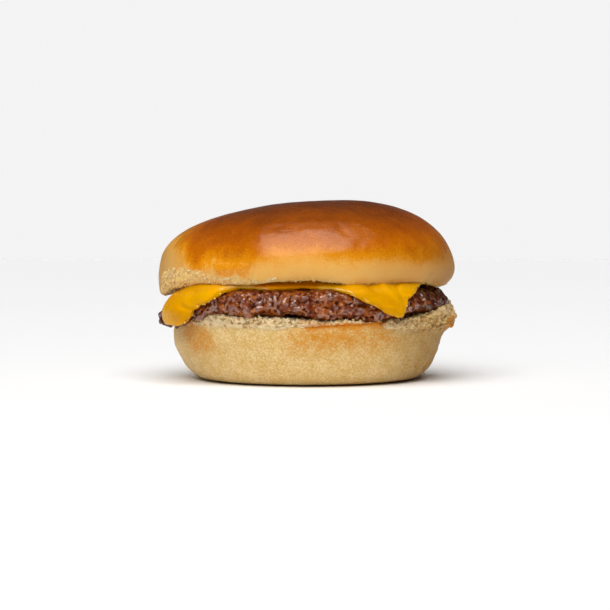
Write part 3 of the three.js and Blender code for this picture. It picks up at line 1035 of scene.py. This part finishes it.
class BURGER_OT_heel(bpy.types.Operator):
    """Models the lower half of the bun, with its torn crumb and the flap at the right"""

    bl_idname = "burger.heel"
    bl_label = "Heel"

    def execute(self, context):
        look = context.scene.heel_look
        piece = rounded_copy("heel", "heel_bun", 2)
        split_faces(piece, crumb_zone)
        split_faces(piece, lambda middle: crumb_zone(middle) & (middle[:, 1] < 8))
        sculpt_heel(piece, look)
        paint_heel(piece)
        dress(piece, heel_finish(look), "heel")
        return {"FINISHED"}


# -------- crumbs, beads and pepper

RAISED = 0.1  # how far the middle of a small thing stands off what it lies on, in millimetres
CRUMB_MARGIN = 1.3  # how far inside the solids' box the middles of loose crumbs stay
OUTSIDE = 50  # radius beyond which crumbs, beads and pepper can be seen
# Where the melting edge has drawn into beads: a range of directions, its share of the beads and
# the least that they face to the right.
BEADED = [(217, 236, 1.0, 0.1), (307, 325, 0.5, -1), (20, 50, 0.3, -1), (105, 135, 0.3, -1)]


def crumb_finish(look):
    finish = Finish("loose_crumb")
    pores = finish.noise(0.0006, 4, 0.65)
    finish.set(Base_Color=finish.mix(pores, tone(200, 156, 88), look.crumb), Roughness=0.8)
    finish.set(Normal=finish.bump(pores, 0.0002), Specular_IOR_Level=0.2)
    return finish.soft(0.2, (1.0, 0.7, 0.35), 0.0008)


class BURGER_OT_crumbs(bpy.types.Operator):
    """Strews loose crumbs along the torn edges of both halves of the bun"""

    bl_idname = "burger.crumbs"
    bl_label = "Crumbs"

    def execute(self, context):
        look = context.scene.crumb_look

        def heel_edge(places, facing):
            shown = (radius_of(places) > OUTSIDE - 0.7) & (facing[:, 2] > -0.2)
            return shown * ease(places[:, 2], crust_top(places) + 0.1, crust_top(places) + 0.8)

        def crown_edge(places, facing):
            shown = (radius_of(places) > OUTSIDE) & (places[:, 2] < 43) & (facing[:, 2] > -0.8)
            return shown * torn_patch(places) * (0.12 + 0.88 * between(angle_of(places), 188, 280, 6))

        pieces = []
        buns = [("heel_bun", 0.75, 51, heel_edge), ("crown_bun", 0.25, 53, crown_edge)]
        for bun, share, seed, wanted in buns:
            count = round(share * look.crumbs)
            centres, facing, draw = spots_on(bpy.data.objects[bun], count, seed, wanted)
            centres = np.clip(centres, CAD_LOW + CRUMB_MARGIN, CAD_HIGH - CRUMB_MARGIN)
            half = 0.2 + 0.42 * draw.random(count) ** 2
            halves = np.stack([half * (1 + draw.random(count)), half, half * 0.8], 1)
            pieces.append(blobs("loose_crumbs", centres + facing * RAISED, facing, halves, draw, 0.25, 1))
        only(pieces[0])
        pieces[1].select_set(True)
        bpy.ops.object.join()
        dress(pieces[0], crumb_finish(look))
        return {"FINISHED"}


class BURGER_OT_beads(bpy.types.Operator):
    """Sets beads of melted cheese along the slice's free edge"""

    bl_idname = "burger.beads"
    bl_label = "Beads"

    def execute(self, context):
        count = context.scene.crumb_look.beads

        def edge(places, facing):
            share = 0
            for low, high, part, right in BEADED:
                share += part * between(angle_of(places), low, high, 2) * (facing[:, 0] > right)
            return share * (radius_of(places) > OUTSIDE) * between(facing[:, 2], -0.9, -0.25, 0.2)

        centres, facing, draw = spots_on(bpy.data.objects["melted_cheese"], count, 63, edge)
        half = 0.2 + 0.22 * draw.random(count)
        halves = np.stack([half * 1.2, half, half * 0.9], 1)
        piece = blobs("cheese_beads", centres + facing * RAISED, facing, halves, draw, 0.04)
        # The beads take the pale edge colour as painted glints.
        paint(piece, oily=0.6, deep=0, sheltered=0)
        dress(piece, cheese_finish(context.scene.cheese_look))
        return {"FINISHED"}


def pepper_finish():
    finish = Finish("cracked_pepper")
    grit = finish.noise(0.0004, 3)
    finish.set(Base_Color=finish.mix(grit, tone(16, 14, 14), tone(62, 52, 46)), Roughness=0.5)
    finish.set(Normal=finish.bump(grit, 0.0002))
    return finish


class BURGER_OT_pepper(bpy.types.Operator):
    """Presses flecks of cracked pepper into the upper side of the beef"""

    bl_idname = "burger.pepper"
    bl_label = "Pepper"

    def execute(self, context):
        count = context.scene.crumb_look.pepper

        def shown(places, facing):
            return (radius_of(places) > OUTSIDE) * ease(places[:, 2], 28, 34) * (facing[:, 2] < 0.9)

        centres, facing, draw = spots_on(bpy.data.objects["beef_patty"], count, 61, shown)
        half = 0.22 + 0.3 * draw.random(count)
        halves = np.stack([half * 1.4, half, half * 0.7], 1)
        piece = blobs("pepper_flecks", centres + facing * RAISED, facing, halves, draw, 0.16, 1)
        dress(piece, pepper_finish())
        return {"FINISHED"}


# -------- stage

SENSOR, FOCAL = 36.0, 91.5  # millimetres
PICTURE = 610  # pixels each way
CENTRE_COLUMN = 307  # where the middle of the burger stands in the picture
HORIZON_ROW = 255
ROOM_GLOW, ROOM_ABOVE = 0.2, 0.04  # strength of the room's light near the table and overhead
BACKDROP = 0.9  # brightness of the room behind the table
TABLE_SIZE = 30
LIT = (0, 0, 0.035)  # what the lamps point at
LAMPS = [
    ("SUN", "overhead", (-0.06, -0.41, 0.85), {"energy": 3.3, "angle": math.radians(66)}),
    ("AREA", "front", (-0.3, -0.95, 0.55), {"energy": 2.3, "shape": "RECTANGLE", "size": 0.8, "size_y": 0.4}),
]


def add_lamp(kind, name, place, settings):
    deselect_all()
    bpy.ops.object.light_add(type=kind, location=place)
    lamp = bpy.context.object
    lamp.name = name
    for key, value in settings.items():
        setattr(lamp.data, key, value)
    lamp.rotation_euler = (Vector(LIT) - Vector(place)).to_track_quat("-Z", "Y").to_euler()


def studio_world():
    """A white room behind the table that lights the burger far less than the lamps do."""
    world = bpy.data.worlds.new("studio")
    nodes = Nodes(world)
    towards = nodes.node("ShaderNodeTexCoord", {}).outputs["Generated"]
    height = nodes.node("ShaderNodeSeparateXYZ", {"Vector": towards}).outputs["Z"]
    levels = {"Value": height, "From Max": 0.3, "To Min": ROOM_GLOW, "To Max": ROOM_ABOVE}
    glow = nodes.node("ShaderNodeMapRange", levels).outputs["Result"]
    seen = nodes.node("ShaderNodeLightPath", {}).outputs["Is Camera Ray"]
    strength = nodes.node("ShaderNodeMix", {0: seen, 2: glow, 3: BACKDROP}).outputs[0]
    background = nodes.tree.nodes["Background"]
    nodes.feed(background.inputs["Color"], (1, 1, 1))
    nodes.feed(background.inputs["Strength"], strength)
    return world


class BURGER_OT_stage(bpy.types.Operator):
    """Sets the table, the soft light and the camera"""

    bl_idname = "burger.stage"
    bl_label = "Stage"

    def execute(self, context):
        look = context.scene.stage_look
        deselect_all()
        bpy.ops.mesh.primitive_plane_add(size=TABLE_SIZE, location=(0, 0, 0))
        table = bpy.context.object
        table.name = "table_top"
        finish = Finish("pale_table")
        finish.set(Base_Color=look.table, Roughness=0.8, Specular_IOR_Level=0.1)
        table.data.materials.append(finish.material)

        context.scene.world = studio_world()
        for lamp in LAMPS:
            add_lamp(*lamp)

        pixel = SENSOR / (FOCAL * PICTURE)  # its size at a distance of 1
        aside = (PICTURE / 2 - CENTRE_COLUMN) * pixel * look.distance
        deselect_all()
        bpy.ops.object.camera_add(location=(aside, -look.distance, look.eye))
        camera = bpy.context.object
        camera.name = "front_camera"
        camera.data.lens = FOCAL
        camera.data.sensor_width = SENSOR
        camera.data.clip_start = 0.01
        camera.data.clip_end = 100
        pitch = math.atan((PICTURE / 2 - HORIZON_ROW) * pixel)
        camera.rotation_euler = (math.pi / 2 - pitch, 0, 0)
        context.scene.camera = camera
        context.scene.view_settings.view_transform = "Standard"
        return {"FINISHED"}


# -------- panel and registration

LOOKS = {
    "crown_look": CrownLook,
    "cheese_look": CheeseLook,
    "patty_look": PattyLook,
    "heel_look": HeelLook,
    "crumb_look": CrumbLook,
    "stage_look": StageLook,
}

OPERATORS = [
    BURGER_OT_stage, BURGER_OT_heel, BURGER_OT_patty, BURGER_OT_cheese, BURGER_OT_crown,
    BURGER_OT_crumbs, BURGER_OT_pepper, BURGER_OT_beads,
]


class BURGER_PT_panel(bpy.types.Panel):
    """Lists the pieces of the burger and what can be changed on them"""

    bl_label = "Burger"
    bl_idname = "BURGER_PT_panel"
    bl_space_type = "VIEW_3D"
    bl_region_type = "UI"
    bl_category = "Burger"

    def draw(self, context):
        for operator in OPERATORS:
            self.layout.operator(operator.bl_idname)
        for name in LOOKS:
            box = self.layout.box()
            look = getattr(context.scene, name)
            box.label(text=type(look).__doc__)
            for key in type(look).__annotations__:
                box.prop(look, key)


CLASSES = [*LOOKS.values(), *OPERATORS, BURGER_PT_panel]


def register():
    for item in CLASSES:
        bpy.utils.register_class(item)
    for name, look in LOOKS.items():
        setattr(bpy.types.Scene, name, PointerProperty(type=look))


def unregister():
    for name in LOOKS:
        delattr(bpy.types.Scene, name)
    for item in reversed(CLASSES):
        bpy.utils.unregister_class(item)


def main():
    register()
    for operator in OPERATORS:
        group, name = operator.bl_idname.split(".")
        getattr(getattr(bpy.ops, group), name)()


if __name__ == "__main__":
    main()
